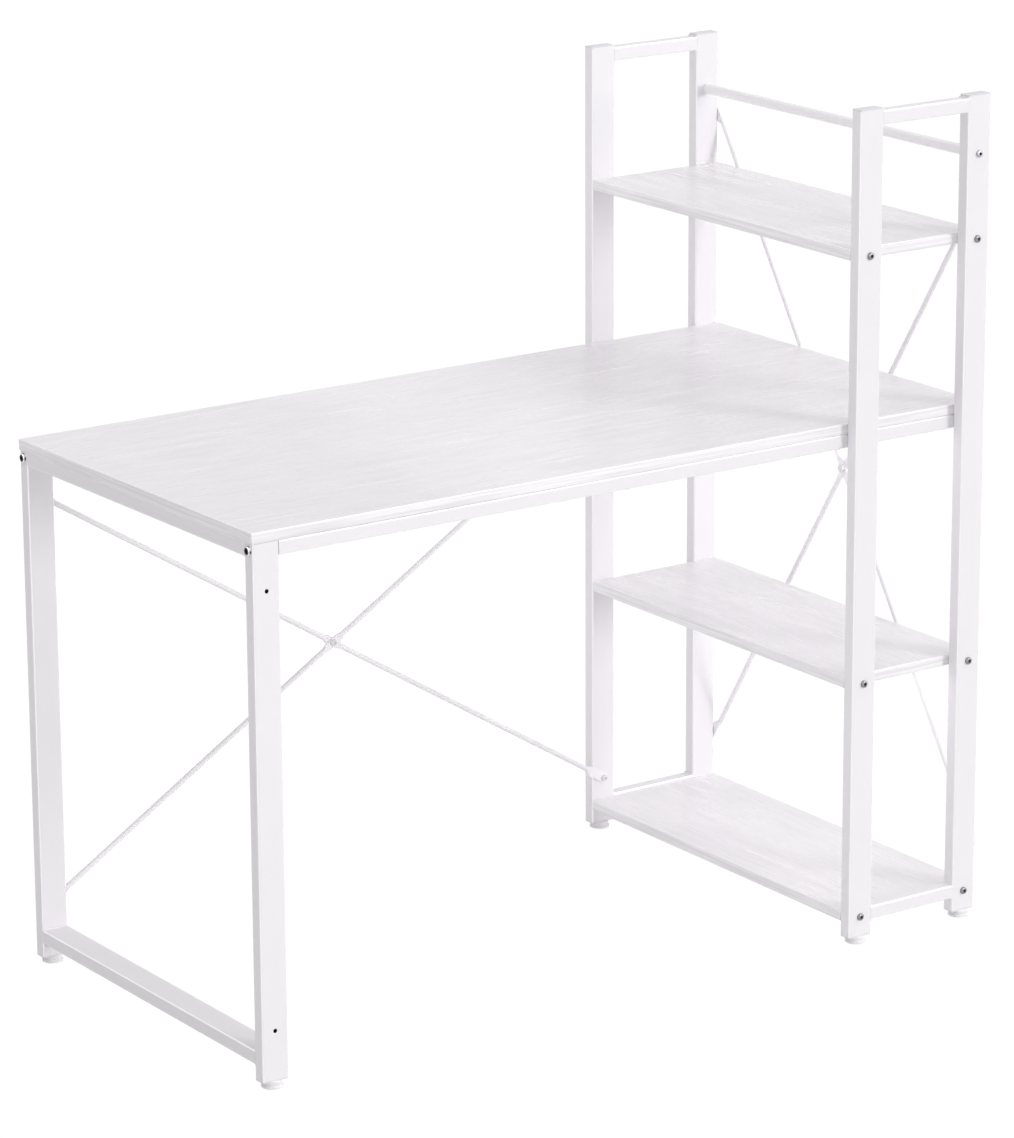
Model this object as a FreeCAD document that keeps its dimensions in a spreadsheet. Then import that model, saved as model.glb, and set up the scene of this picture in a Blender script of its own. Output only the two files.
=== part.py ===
"""Home-office desk with a full-height shelf tower at its right end.

Steel tube frames carry four laminated boards. The left frame and the two tower frames stand
apart and are tied by the aprons, the shelves and two crossed pairs of brace rods.
Lengths are in millimetres. The origin is on the floor under the middle of the desktop,
X runs to the tower, Y to the back and Z up. The user sits at the -Y side.
"""
import FreeCAD
import Part
import Sketcher
import math
import os
import re
from FreeCAD import Placement, Rotation, Vector

# Driving dimensions, one cell of the sheet each.
SIZES = {
    # Boards
    "board_length": 1200,
    "board_depth": 600,
    "board_thickness": 15,
    "board_overhang": 1.5,
    "edge_band": 0.8,
    "desk_height": 760,
    # Tubes of the frames
    "tube_width": 40,
    "tube_depth": 20,
    "tube_wall": 1.2,
    "tube_corner": 2.5,
    "rail_height": 20,
    "rail_rise": 19,
    # Tower
    "tower_width": 230,
    "tower_height": 1200,
    "tower_rail_drop": 4,
    "top_shelf_drop": 203,
    "middle_shelf_drop": 374.5,
    "bottom_shelf_middle": 39.5,
    "guard_drop": 83,
    "guard_diameter": 15,
    # Brace rods with pressed ends
    "rod_diameter": 7.5,
    "brace_end_width": 15,
    "brace_end_margin": 0.5,
    "brace_neck": 8,
    "brace_flat_thickness": 2.5,
    "brace_middle_width": 12,
    "brace_middle_margin": 0.8,
    "brace_board_gap": 0.8,
    "back_brace_drop": 79.5,
    "back_brace_bottom": 80.5,
    "side_brace_drop": 113,
    "side_brace_bottom": 106,
    # Plastic caps, inserts and feet
    "cap_lip": 2,
    "cap_depth": 12,
    "leg_cap_depth": 4,
    "foot_height": 12,
    "foot_gap": 0.3,
    "foot_diameter": 30,
    "foot_round": 1.5,
    "foot_floor": 3,
    "stud_diameter": 8,
    "stud_length": 30,
    "stud_clearance": 0.05,
    "foot_insert_length": 20,
    # Frame bolts and the nuts in the apron ends
    "frame_bolt_diameter": 8,
    "frame_head_diameter": 13,
    "frame_head_height": 3.6,
    "frame_socket": 5,
    "frame_nut_length": 20,
    # Small bolts, rivet nuts and board inserts
    "bolt_diameter": 6,
    "head_diameter": 10.5,
    "head_height": 3.3,
    "head_round_share": 0.45,
    "socket": 4,
    "socket_depth_share": 0.6,
    "bolt_hole_clearance": 0.3,
    "thread_clearance": 0.05,
    "tip_gap": 1,
    "insert_diameter": 10,
    "insert_length": 15,
    "rivet_nut_diameter": 8,
    "rivet_nut_length": 12,
    "rivet_bulge_diameter": 10.5,
    "rivet_bulge_length": 2,
    "hex_nut_flats": 10,
    "hex_nut_height": 5,
    # Desktop screws
    "screw_diameter": 4,
    "screw_head_diameter": 8,
    "screw_head_height": 2.4,
    "screw_socket": 2.5,
    "screw_bite": 10,
    # Every cut runs this far past the face that it breaks
    "overrun": 1,
}

# Places of the desktop screws, as shares of the desktop's length and depth.
APRON_SCREW_SHARES = (-0.3, 0.0, 0.3)
RAIL_SCREW_SHARES = (-0.25, 0.25)

# Centre lines of the frame, measured from the origin.
LEG_X = "(-board_length / 2 + board_overhang + tube_width / 2)"
RIGHT_POST_X = "(board_length / 2 - board_overhang - tube_width / 2)"
LEFT_POST_X = "(board_length / 2 - board_overhang - tower_width + tube_width / 2)"
TOWER_X = "(board_length / 2 - board_overhang - tower_width / 2)"
FRAME_END = "(board_length / 2 - board_overhang)"
LEG_Y = "(board_depth / 2 - tube_depth / 2)"
POST_Y = "(board_depth / 2 + tube_depth / 2)"
APRON_Z = "(desk_height - board_thickness - rail_height / 2)"
BOTTOM_RAIL_Z = "(foot_height + rail_rise + rail_height / 2)"
TOWER_TOP_RAIL_Z = "(tower_height - tower_rail_drop - rail_height / 2)"
GUARD_Z = "(tower_height - guard_drop)"

# Heights of the brace bolts: the back pair hangs from the desktop, the side pair from the
# tower's top.
BACK_ENDS = ("back_brace_bottom", "(desk_height - back_brace_drop)")
SIDE_ENDS = ("side_brace_bottom", "(tower_height - side_brace_drop)")

SIDES = {"front": -1, "back": 1}

# A piece is drawn along its own +Z, then turned to where it points on the desk.
UPRIGHT = Rotation()
ALONG_X = Rotation(Vector(0, 1, 0), 90)
ALONG_Y = Rotation(Vector(1, 0, 0), -90)
FACING = {
    "-X": Rotation(Vector(0, 1, 0), -90),
    "+X": Rotation(Vector(0, 1, 0), 90),
    "-Y": Rotation(Vector(1, 0, 0), 90),
    "+Y": Rotation(Vector(1, 0, 0), -90),
    "-Z": Rotation(Vector(1, 0, 0), 180),
    "+Z": Rotation(),
}

doc = FreeCAD.newDocument("desk")
sheet = doc.addObject("Spreadsheet::Sheet", "Sizes")
for row, (alias, number) in enumerate(SIZES.items(), start=1):
    sheet.set(f"A{row}", alias)
    sheet.set(f"B{row}", str(number))
    sheet.setAlias(f"B{row}", alias)
doc.recompute()

nodes = []


def size(alias):
    """Value of one driving dimension, read from the sheet."""
    return float(sheet.get(alias))


def bind(thing, where, formula):
    """Tie a property to a formula in which each driving dimension is a plain word."""
    def cell(word):
        name = word.group()
        return f"Sizes.{name}" if name in SIZES else name
    thing.setExpression(where, re.sub(r"[a-z][a-z_]*", cell, formula))


def place(thing, x, y, z, turn=UPRIGHT):
    """Turn a piece and tie its origin to three formulas."""
    thing.Placement = Placement(Vector(), turn)
    for axis, formula in zip("xyz", (x, y, z)):
        bind(thing, f"Placement.Base.{axis}", formula)


def new_node(kind, label):
    """One named sub-part of the desk."""
    thing = doc.addObject(kind, label)
    thing.Label = label
    nodes.append(thing)
    return thing


# Sketches and features


def sketch_on(body, plane, lift=None):
    """Sketch on one of the body's own origin planes, lifted along the plane's normal."""
    sketch = body.newObject("Sketcher::SketchObject", "Sketch")
    support = next(item for item in body.Origin.OriginFeatures if item.Role == plane)
    sketch.AttachmentSupport = [(support, "")]
    sketch.MapMode = "FlatFace"
    if lift:
        bind(sketch, "AttachmentOffset.Base.z", lift)
    return sketch


def constrain(sketch, formula, *constraint):
    """Add a dimension to the sketch and tie it to a formula."""
    index = sketch.addConstraint(Sketcher.Constraint(*constraint))
    bind(sketch, f"Constraints[{index}]", formula)


def draw_rectangle(sketch, width, depth):
    """Rectangle about the sketch's origin."""
    corners = [Vector(-1, -1), Vector(1, -1), Vector(1, 1), Vector(-1, 1)]
    first = sketch.GeometryCount
    for index, corner in enumerate(corners):
        sketch.addGeometry(Part.LineSegment(corner, corners[(index + 1) % 4]), False)
    for index in range(4):
        after = first + (index + 1) % 4
        sketch.addConstraint(Sketcher.Constraint("Coincident", first + index, 2, after, 1))
    for index in (0, 2):
        sketch.addConstraint(Sketcher.Constraint("Horizontal", first + index))
        sketch.addConstraint(Sketcher.Constraint("Vertical", first + index + 1))
    sketch.addConstraint(Sketcher.Constraint("Symmetric", first, 1, first + 2, 1, -1, 1))
    constrain(sketch, width, "DistanceX", first, 1, first, 2, 2)
    constrain(sketch, depth, "DistanceY", first + 1, 1, first + 1, 2, 2)


def draw_circle(sketch, diameter, across="0", along="0"):
    """Circle with its centre at a place of the sketch."""
    circle = sketch.addGeometry(Part.Circle(Vector(), Vector(0, 0, 1), 1), False)
    constrain(sketch, diameter, "Diameter", circle, 2)
    constrain(sketch, across, "DistanceX", -1, 1, circle, 3, 0)
    constrain(sketch, along, "DistanceY", -1, 1, circle, 3, 0)


def draw_hexagon(sketch, flats):
    """Hexagon about the sketch's origin, with two sides upright."""
    reach = 1 / math.cos(math.pi / 6)
    turns = [math.pi / 6 + index * math.pi / 3 for index in range(6)]
    corners = [Vector(reach * math.cos(turn), reach * math.sin(turn)) for turn in turns]
    for index, corner in enumerate(corners):
        sketch.addGeometry(Part.LineSegment(corner, corners[(index + 1) % 6]), False)
    ring = sketch.addGeometry(Part.Circle(Vector(), Vector(0, 0, 1), reach), True)
    for index in range(6):
        sketch.addConstraint(Sketcher.Constraint("Coincident", index, 2, (index + 1) % 6, 1))
        sketch.addConstraint(Sketcher.Constraint("PointOnObject", index, 1, ring))
    for index in range(1, 6):
        sketch.addConstraint(Sketcher.Constraint("Equal", 0, index))
    sketch.addConstraint(Sketcher.Constraint("Coincident", ring, 3, -1, 1))
    sketch.addConstraint(Sketcher.Constraint("Vertical", 2))
    constrain(sketch, f"{flats} / cos(30)", "Diameter", ring, 2 * reach)


def add_pad(body, sketch, length, flipped=False):
    """Extrude along the sketch's normal, or against it when flipped."""
    pad = body.newObject("PartDesign::Pad", "Pad")
    pad.Profile = sketch
    bind(pad, "Length", length)
    pad.Reversed = flipped
    sketch.Visibility = False
    return pad


def add_pocket(body, sketch, length, flipped=False, both=False):
    """Cut against the sketch's normal, along it when flipped, or both ways."""
    pocket = body.newObject("PartDesign::Pocket", "Pocket")
    pocket.Profile = sketch
    bind(pocket, "Length", length)
    pocket.Reversed = flipped
    pocket.Midplane = both
    sketch.Visibility = False
    return pocket


def add_fillet(body, base, radius, wanted):
    """Round the edges of the base feature that the test picks."""
    doc.recompute()
    picked = [f"Edge{index}" for index, edge in enumerate(base.Shape.Edges, 1) if wanted(edge)]
    fillet = body.newObject("PartDesign::Fillet", "Fillet")
    fillet.Base = (base, picked)
    bind(fillet, "Radius", radius)
    return fillet


def is_upright(edge):
    """Whether an edge is straight and parallel to Z."""
    return abs(edge.tangentAt(edge.FirstParameter).z) > math.cos(math.pi / 4)


def is_level_at(height):
    """Test for the edges that lie at one height."""
    return lambda edge: math.isclose(edge.BoundBox.ZMin, height) and math.isclose(
        edge.BoundBox.ZMax, height)


def bore(body, way, holes, diameter, wall="both"):
    """Drill a hollow tube across its own X or Y, through one wall or both.

    Each hole is a pair of formulas: how far off the tube's middle, and how far along it.
    """
    sketch = sketch_on(body, {"X": "YZ_Plane", "Y": "XZ_Plane"}[way])
    for across, along in holes:
        draw_circle(sketch, diameter, across, along)
    towards_plus = {"X": True, "Y": False}[way]
    if wall == "both":
        add_pocket(body, sketch, "2 * tube_width", both=True)
    else:
        add_pocket(body, sketch, "tube_width", flipped=(wall == "plus") == towards_plus)


# Families of pieces

BOLT_HOLE = "(bolt_diameter + 2 * bolt_hole_clearance)"
FRAME_BOLT_HOLE = "(frame_bolt_diameter + 2 * bolt_hole_clearance)"
SCREW_HOLE = "(screw_diameter + 2 * bolt_hole_clearance)"
THREAD = "(bolt_diameter + 2 * thread_clearance)"
FRAME_THREAD = "(frame_bolt_diameter + 2 * thread_clearance)"


def make_tube(label, width, depth, length, x, y, z, turn=UPRIGHT):
    """Rectangular steel tube with rounded corners, open at both ends."""
    body = new_node("PartDesign::Body", label)
    outside = sketch_on(body, "XY_Plane")
    draw_rectangle(outside, width, depth)
    pad = add_pad(body, outside, length)
    add_fillet(body, pad, "tube_corner", is_upright)
    inside = sketch_on(body, "XY_Plane")
    draw_rectangle(inside, f"{width} - 2 * tube_wall", f"{depth} - 2 * tube_wall")
    add_pocket(body, inside, f"{length} + overrun", flipped=True)
    place(body, x, y, z, turn)
    return body


def make_board(label, length, middle_x, top_z, end_bolts=()):
    """Laminated board and the thin band glued round its edge, in two nodes.

    The board's ends are drilled for the threaded inserts that take the end bolts.
    """
    core = new_node("PartDesign::Body", label)
    outline = sketch_on(core, "XY_Plane")
    draw_rectangle(outline, f"{length} - 2 * edge_band", "board_depth - 2 * edge_band")
    add_pad(core, outline, "board_thickness", flipped=True)
    band = new_node("PartDesign::Body", f"{label}_edge_band")
    outline = sketch_on(band, "XY_Plane")
    draw_rectangle(outline, length, "board_depth")
    add_pad(band, outline, "board_thickness", flipped=True)
    outline = sketch_on(band, "XY_Plane", "overrun")
    draw_rectangle(outline, f"{length} - 2 * edge_band", "board_depth - 2 * edge_band")
    add_pocket(band, outline, "board_thickness + 2 * overrun")
    if end_bolts:
        for side in SIDES.values():
            ends = sketch_on(core, "XZ_Plane", f"{-side} * board_depth / 2")
            for across in end_bolts:
                draw_circle(ends, "insert_diameter", across, "-board_thickness / 2")
            add_pocket(core, ends, "insert_length", flipped=side > 0)
        ends = sketch_on(band, "XZ_Plane")
        for across in end_bolts:
            draw_circle(ends, "insert_diameter", across, "-board_thickness / 2")
        add_pocket(band, ends, "2 * board_depth", both=True)
    for body in (core, band):
        place(body, middle_x, "0", top_z)
    return core


def pattern_piece(label):
    """Body that is only copied, so it is no node of its own."""
    body = doc.addObject("PartDesign::Body", label)
    body.Label = label
    return body


def make_group(label, piece, places):
    """One node of separate, identical pieces, each at its own place and facing its own way."""
    copies = []
    for facing, x, y, z in places:
        copy = doc.addObject("App::Link", f"{label}_copy")
        copy.LinkedObject = piece
        place(copy, x, y, z, FACING[facing])
        copies.append(copy)
    group = new_node("Part::Compound", label)
    group.Links = copies


def draw_bolt(label, shank, length, head, head_height, socket):
    """Button-head bolt seated at Z 0, with its shank down and a hexagon socket in the head."""
    body = pattern_piece(label)
    disc = sketch_on(body, "XY_Plane")
    draw_circle(disc, head)
    pad = add_pad(body, disc, head_height)
    doc.recompute()
    crown = is_level_at(pad.Shape.BoundBox.ZMax)
    add_fillet(body, pad, f"{head_height} * head_round_share", crown)
    stem = sketch_on(body, "XY_Plane")
    draw_circle(stem, shank)
    add_pad(body, stem, length, flipped=True)
    drive = sketch_on(body, "XY_Plane", head_height)
    draw_hexagon(drive, socket)
    add_pocket(body, drive, f"{head_height} * socket_depth_share")
    return body


def make_plug(label, width, depth, plug_depth, lip):
    """Plastic plug for a tube's end: its plug goes down into the tube, its lip covers the wall."""
    body = pattern_piece(label)
    inner = sketch_on(body, "XY_Plane")
    draw_rectangle(inner, f"{width} - 2 * tube_wall", f"{depth} - 2 * tube_wall")
    add_pad(body, inner, plug_depth, flipped=True)
    if lip:
        cover = sketch_on(body, "XY_Plane")
        draw_rectangle(cover, width, depth)
        pad = add_pad(body, cover, lip)
        add_fillet(body, pad, "tube_corner",
                   lambda edge: is_upright(edge) and edge.CenterOfMass.z > 0)
    return body


# Boards

END_BOLTS = ("-(tower_width - tube_width) / 2", "(tower_width - tube_width) / 2")
SHELVES = {
    "top_shelf": "(tower_height - top_shelf_drop)",
    "middle_shelf": "(desk_height - middle_shelf_drop)",
    "bottom_shelf": "bottom_shelf_middle",
}
desktop = make_board("desktop", "board_length", "0", "desk_height")
for shelf, middle in SHELVES.items():
    make_board(shelf, "tower_width", TOWER_X, f"{middle} + board_thickness / 2", END_BOLTS)

# Blind holes in the desktop's underside for the screws, one above each hole in the frame.
SCREWS = [(f"{share} * board_length", f"{side} * {LEG_Y}")
          for side in SIDES.values() for share in APRON_SCREW_SHARES]
SCREWS += [(LEG_X, f"{share} * board_depth") for share in RAIL_SCREW_SHARES]
underside = sketch_on(desktop, "XY_Plane", "-board_thickness")
for across, along in SCREWS:
    draw_circle(underside, "screw_diameter", across, along)
add_pocket(desktop, underside, "screw_bite", flipped=True)

# Left frame: two legs with a rail between them at the top and at the bottom.

LEG_LENGTH = "(desk_height - board_thickness - foot_height)"
BRACE_HOLES = [("0", f"{end} - foot_height") for end in BACK_ENDS]
for name, side in SIDES.items():
    leg = make_tube(f"left_{name}_leg", "tube_width", "tube_depth", LEG_LENGTH,
                    LEG_X, f"{side} * {LEG_Y}", "foot_height")
    bore(leg, "X", [("0", f"{APRON_Z} - foot_height")], FRAME_BOLT_HOLE)
    outer = "plus" if side > 0 else "minus"
    bore(leg, "Y", BRACE_HOLES, "rivet_nut_diameter", wall=outer)
for name, height in (("top", APRON_Z), ("bottom", BOTTOM_RAIL_Z)):
    rail = make_tube(f"left_{name}_rail", "tube_width", "rail_height",
                     "board_depth - 2 * tube_depth",
                     LEG_X, "-board_depth / 2 + tube_depth", height, ALONG_Y)
    if name == "top":
        holes = [("0", f"(0.5 + {share}) * board_depth - tube_depth")
                 for share in RAIL_SCREW_SHARES]
        bore(rail, "Y", holes, SCREW_HOLE)

# Aprons: two square tubes under the desktop, from the left legs to the tower's far side.

APRON_START = "(-board_length / 2 + board_overhang + tube_width)"
APRON_LENGTH = "(board_length - 2 * board_overhang - tube_width - cap_lip)"
for name, side in SIDES.items():
    apron = make_tube(f"{name}_apron", "rail_height", "tube_depth", APRON_LENGTH,
                      APRON_START, f"{side} * {LEG_Y}", APRON_Z, ALONG_X)
    holes = [("0", f"{share} * board_length - {APRON_START}") for share in APRON_SCREW_SHARES]
    bore(apron, "X", holes, SCREW_HOLE)
    holes = [("0", f"{post} - {APRON_START}") for post in (LEFT_POST_X, RIGHT_POST_X)]
    bore(apron, "Y", holes, BOLT_HOLE)

# Tower: a front and a back frame, each of two posts with a rail near either end.

POST_LENGTH = "(tower_height - cap_lip - foot_height)"
for name, side in SIDES.items():
    towards_desk = "minus" if side > 0 else "plus"
    for hand, middle in (("left", LEFT_POST_X), ("right", RIGHT_POST_X)):
        post = make_tube(f"{name}_{hand}_post", "tube_width", "tube_depth", POST_LENGTH,
                         middle, f"{side} * {POST_Y}", "foot_height")
        heights = list(SHELVES.values()) + ([GUARD_Z] if hand == "right" else [])
        bore(post, "Y", [("0", f"{height} - foot_height") for height in heights], BOLT_HOLE)
        nut_holes = [("0", f"{APRON_Z} - foot_height")]
        if hand == "left":
            nut_holes += BRACE_HOLES
        bore(post, "Y", nut_holes, "rivet_nut_diameter", wall=towards_desk)
        if hand == "right":
            holes = [("0", f"{end} - foot_height") for end in SIDE_ENDS]
            bore(post, "X", holes, "rivet_nut_diameter", wall="plus")
    for level, height in (("top", TOWER_TOP_RAIL_Z), ("bottom", BOTTOM_RAIL_Z)):
        make_tube(f"{name}_{level}_rail", "rail_height", "tube_depth",
                  "tower_width - 2 * tube_width",
                  f"{LEFT_POST_X} + tube_width / 2", f"{side} * {POST_Y}", height, ALONG_X)

# Guard rail: a round bar above the top shelf, held by a bolt into each end.

guard = new_node("PartDesign::Body", "guard_rail")
section = sketch_on(guard, "XY_Plane")
draw_circle(section, "guard_diameter")
add_pad(guard, section, "board_depth")
for lift, inwards in (("0", True), ("board_depth", False)):
    section = sketch_on(guard, "XY_Plane", lift)
    draw_circle(section, THREAD)
    add_pocket(guard, section, "insert_length", flipped=inwards)
place(guard, RIGHT_POST_X, "-board_depth / 2", GUARD_Z, ALONG_Y)

# Brace rods: round bars pressed flat at both ends and in the middle, where two of them cross.


def flat_section(at, offset, width, thickness):
    """Rectangular section across a pressed part of the rod."""
    reach = [(-width, -thickness), (width, -thickness), (width, thickness), (-width, thickness)]
    points = [Vector(at, across / 2, offset + up / 2) for across, up in reach]
    return Part.makePolygon(points + points[:1])


def round_section(at, offset, diameter):
    """Circular section in four arcs, so that each arc meets one side of a flat section."""
    middle = Vector(at, 0, offset)
    quarter = math.pi / 2

    def point(turns):
        angle = turns * quarter
        return middle + Vector(0, math.cos(angle), math.sin(angle)) * diameter / 2
    arcs = [Part.Arc(point(start - 1.5), point(start - 1), point(start - 0.5))
            for start in range(4)]
    return Part.Wire([arc.toShape() for arc in arcs])


def make_brace(label, start, end, normal, carrier, corner, start_offset, end_offset, rod_offset):
    """Brace rod between two bolt holes of a plane, each part offset along the plane's normal.

    Its ends are flat until their corner, a width beside the rod's line, is past the carrier,
    half the width of the tubes. Its middle is flat as far as the other rod lies over it.
    """
    thickness = size("brace_flat_thickness")
    end_width, middle_width = size("brace_end_width"), size("brace_middle_width")
    diameter, neck = size("rod_diameter"), size("brace_neck")
    length = start.distanceToPoint(end)
    middle = length / 2
    rise = abs(end.z - start.z)
    run = math.sqrt(length ** 2 - rise ** 2)
    flat = (carrier * length + corner * rise) / run + size("brace_end_margin")
    half_flat = middle_width / 2 * max(run / rise, rise / run) + size("brace_middle_margin")

    def pressed(at, offset):
        return flat_section(at, offset, end_width, thickness)

    def waist(at):
        return flat_section(at, rod_offset, middle_width, thickness)

    def rod(at):
        return round_section(at, rod_offset, diameter)
    sections = [
        pressed(0, start_offset), pressed(flat, start_offset),
        rod(flat + neck), rod(middle - half_flat - neck),
        waist(middle - half_flat), waist(middle + half_flat),
        rod(middle + half_flat + neck), rod(length - flat - neck),
        pressed(length - flat, end_offset), pressed(length, end_offset),
    ]
    shape = Part.makeLoft(sections, True, True)
    bolts = [(0, start_offset), (middle, rod_offset), (length, end_offset)]
    for at, offset in (bolts[0], bolts[-1]):
        base = Vector(at, 0, offset - thickness / 2)
        shape = shape.fuse(Part.makeCylinder(end_width / 2, thickness, base))
    hole = size("bolt_diameter") / 2 + size("bolt_hole_clearance")
    for at, offset in bolts:
        base = Vector(at, 0, offset - thickness)
        shape = shape.cut(Part.makeCylinder(hole, 2 * thickness, base))
    brace = new_node("Part::Feature", label)
    brace.Shape = shape.removeSplitter()
    along = (end - start).normalize()
    brace.Placement = Placement(start, Rotation(along, normal.cross(along), normal, "ZXY"))


half_length, half_depth = size("board_length") / 2, size("board_depth") / 2
frame_end = half_length - size("board_overhang")
half_tube = size("tube_width") / 2
half_flat_thickness = size("brace_flat_thickness") / 2

# The back pair spans the knee space, from the left leg's back face to the tower's front face.
leg_x = -frame_end + half_tube
post_x = frame_end - size("tower_width") + half_tube
back_low, back_high = size("back_brace_bottom"), size("desk_height") - size("back_brace_drop")
for label, left_z, right_z, layer in (
        ("back_brace_rising", back_low, back_high, -1),
        ("back_brace_falling", back_high, back_low, 1)):
    make_brace(label, Vector(leg_x, half_depth, left_z), Vector(post_x, half_depth, right_z),
               Vector(0, 1, 0), half_tube, size("brace_end_width") / 2, half_flat_thickness,
               -half_flat_thickness, layer * half_flat_thickness)

# The side pair closes the tower's right side, just outside the ends of the boards. Its rods
# stand clear of the tubes' faces, so no corner of theirs has to pass the tubes.
side_low, side_high = size("side_brace_bottom"), size("tower_height") - size("side_brace_drop")
post_y = half_depth + size("tube_depth") / 2
inner_rod = size("board_overhang") + size("brace_board_gap") + size("rod_diameter") / 2
outer_rod = inner_rod + size("brace_flat_thickness")
for label, front_z, back_z, rod_offset in (
        ("side_brace_rising", side_low, side_high, inner_rod),
        ("side_brace_falling", side_high, side_low, outer_rod)):
    make_brace(label, Vector(frame_end, -post_y, front_z), Vector(frame_end, post_y, back_z),
               Vector(1, 0, 0), size("tube_depth") / 2, 0, half_flat_thickness,
               half_flat_thickness, rod_offset)

# Feet: a plastic pad on a threaded stud that screws into the insert in the tube's end.

STANDS = {
    "left_front": (LEG_X, f"-{LEG_Y}"),
    "left_back": (LEG_X, LEG_Y),
    "tower_front_left": (LEFT_POST_X, f"-{POST_Y}"),
    "tower_front_right": (RIGHT_POST_X, f"-{POST_Y}"),
    "tower_back_left": (LEFT_POST_X, POST_Y),
    "tower_back_right": (RIGHT_POST_X, POST_Y),
}
PAD_HEIGHT = "(foot_height - cap_lip - foot_gap)"
for stand, (x, y) in STANDS.items():
    pad_body = new_node("PartDesign::Body", f"{stand}_foot_pad")
    disc = sketch_on(pad_body, "XY_Plane")
    draw_circle(disc, "foot_diameter")
    puck = add_pad(pad_body, disc, PAD_HEIGHT)
    add_fillet(pad_body, puck, "foot_round", lambda edge: edge.Closed)
    socket_top = sketch_on(pad_body, "XY_Plane", PAD_HEIGHT)
    draw_circle(socket_top, "stud_diameter")
    add_pocket(pad_body, socket_top, f"{PAD_HEIGHT} - foot_floor")
    place(pad_body, x, y, "0")
    stud = new_node("PartDesign::Body", f"{stand}_foot_stud")
    section = sketch_on(stud, "XY_Plane")
    draw_circle(section, "stud_diameter")
    add_pad(stud, section, "stud_length")
    place(stud, x, y, "foot_floor")

insert = make_plug("foot_insert", "tube_width", "tube_depth", "foot_insert_length", "cap_lip")
thread = sketch_on(insert, "XY_Plane")
draw_circle(thread, "stud_diameter + 2 * stud_clearance")
add_pocket(insert, thread, "2 * (foot_insert_length + cap_lip)", both=True)
make_group("foot_inserts", insert, [("-Z", x, y, "foot_height") for x, y in STANDS.values()])

# Caps of the tube ends that would stand open.

post_cap = make_plug("post_cap", "tube_width", "tube_depth", "cap_depth", "cap_lip")
make_group("post_caps", post_cap,
           [("+Z", post, f"{side} * {POST_Y}", "tower_height - cap_lip")
            for side in SIDES.values() for post in (LEFT_POST_X, RIGHT_POST_X)])
leg_cap = make_plug("leg_cap", "tube_width", "tube_depth", "leg_cap_depth", None)
make_group("leg_caps", leg_cap,
           [("+Z", LEG_X, f"{side} * {LEG_Y}", "desk_height - board_thickness")
            for side in SIDES.values()])
apron_cap = make_plug("apron_cap", "rail_height", "tube_depth", "cap_depth", "cap_lip")
make_group("apron_caps", apron_cap,
           [("+X", f"{APRON_START} + {APRON_LENGTH}", f"{side} * {LEG_Y}", APRON_Z)
            for side in SIDES.values()])

# Frame bolts go through the left legs into nut blocks welded in the aprons' near ends.

frame_bolt = draw_bolt("frame_bolt", "frame_bolt_diameter",
                       "tube_width + frame_nut_length - tip_gap",
                       "frame_head_diameter", "frame_head_height", "frame_socket")
make_group("frame_bolts", frame_bolt,
           [("-X", "-board_length / 2 + board_overhang", f"{side} * {LEG_Y}", APRON_Z)
            for side in SIDES.values()])
frame_nut = make_plug("frame_nut", "rail_height", "tube_depth", "frame_nut_length", None)
thread = sketch_on(frame_nut, "XY_Plane")
draw_circle(thread, FRAME_THREAD)
add_pocket(frame_nut, thread, "2 * frame_nut_length", both=True)
make_group("frame_nuts", frame_nut,
           [("-X", APRON_START, f"{side} * {LEG_Y}", APRON_Z) for side in SIDES.values()])

# Shelf bolts go through the posts into threaded inserts in the ends of the shelves.

OUTWARDS = {-1: "-Y", 1: "+Y"}
INWARDS = {-1: "+Y", 1: "-Y"}
through_post = draw_bolt("shelf_bolt", "bolt_diameter", "tube_depth + insert_length - tip_gap",
                         "head_diameter", "head_height", "socket")
make_group("shelf_bolts", through_post,
           [(OUTWARDS[side], post, f"{side} * (board_depth / 2 + tube_depth)", height)
            for side in SIDES.values() for post in (LEFT_POST_X, RIGHT_POST_X)
            for height in SHELVES.values()])
make_group("guard_rail_bolts", through_post,
           [(OUTWARDS[side], RIGHT_POST_X, f"{side} * (board_depth / 2 + tube_depth)",
             GUARD_Z) for side in SIDES.values()])
board_insert = pattern_piece("board_insert")
section = sketch_on(board_insert, "XY_Plane")
draw_circle(section, "insert_diameter")
draw_circle(section, THREAD)
add_pad(board_insert, section, "insert_length", flipped=True)
make_group("shelf_inserts", board_insert,
           [(OUTWARDS[side], post, f"{side} * board_depth / 2", height)
            for side in SIDES.values() for post in (LEFT_POST_X, RIGHT_POST_X)
            for height in SHELVES.values()])

# Apron bolts go through the aprons from inside into the rivet nuts of the posts.

apron_bolt = draw_bolt("apron_bolt", "bolt_diameter", "tube_depth + rivet_nut_length - tip_gap",
                       "head_diameter", "head_height", "socket")
make_group("apron_bolts", apron_bolt,
           [(INWARDS[side], post, f"{side} * (board_depth / 2 - tube_depth)", APRON_Z)
            for side in SIDES.values() for post in (LEFT_POST_X, RIGHT_POST_X)])

# Rivet nuts sit flush in one wall of a tube. Those of the front frame's brace holes stay empty
# and take the braces when the desk is built the other way round.

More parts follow.
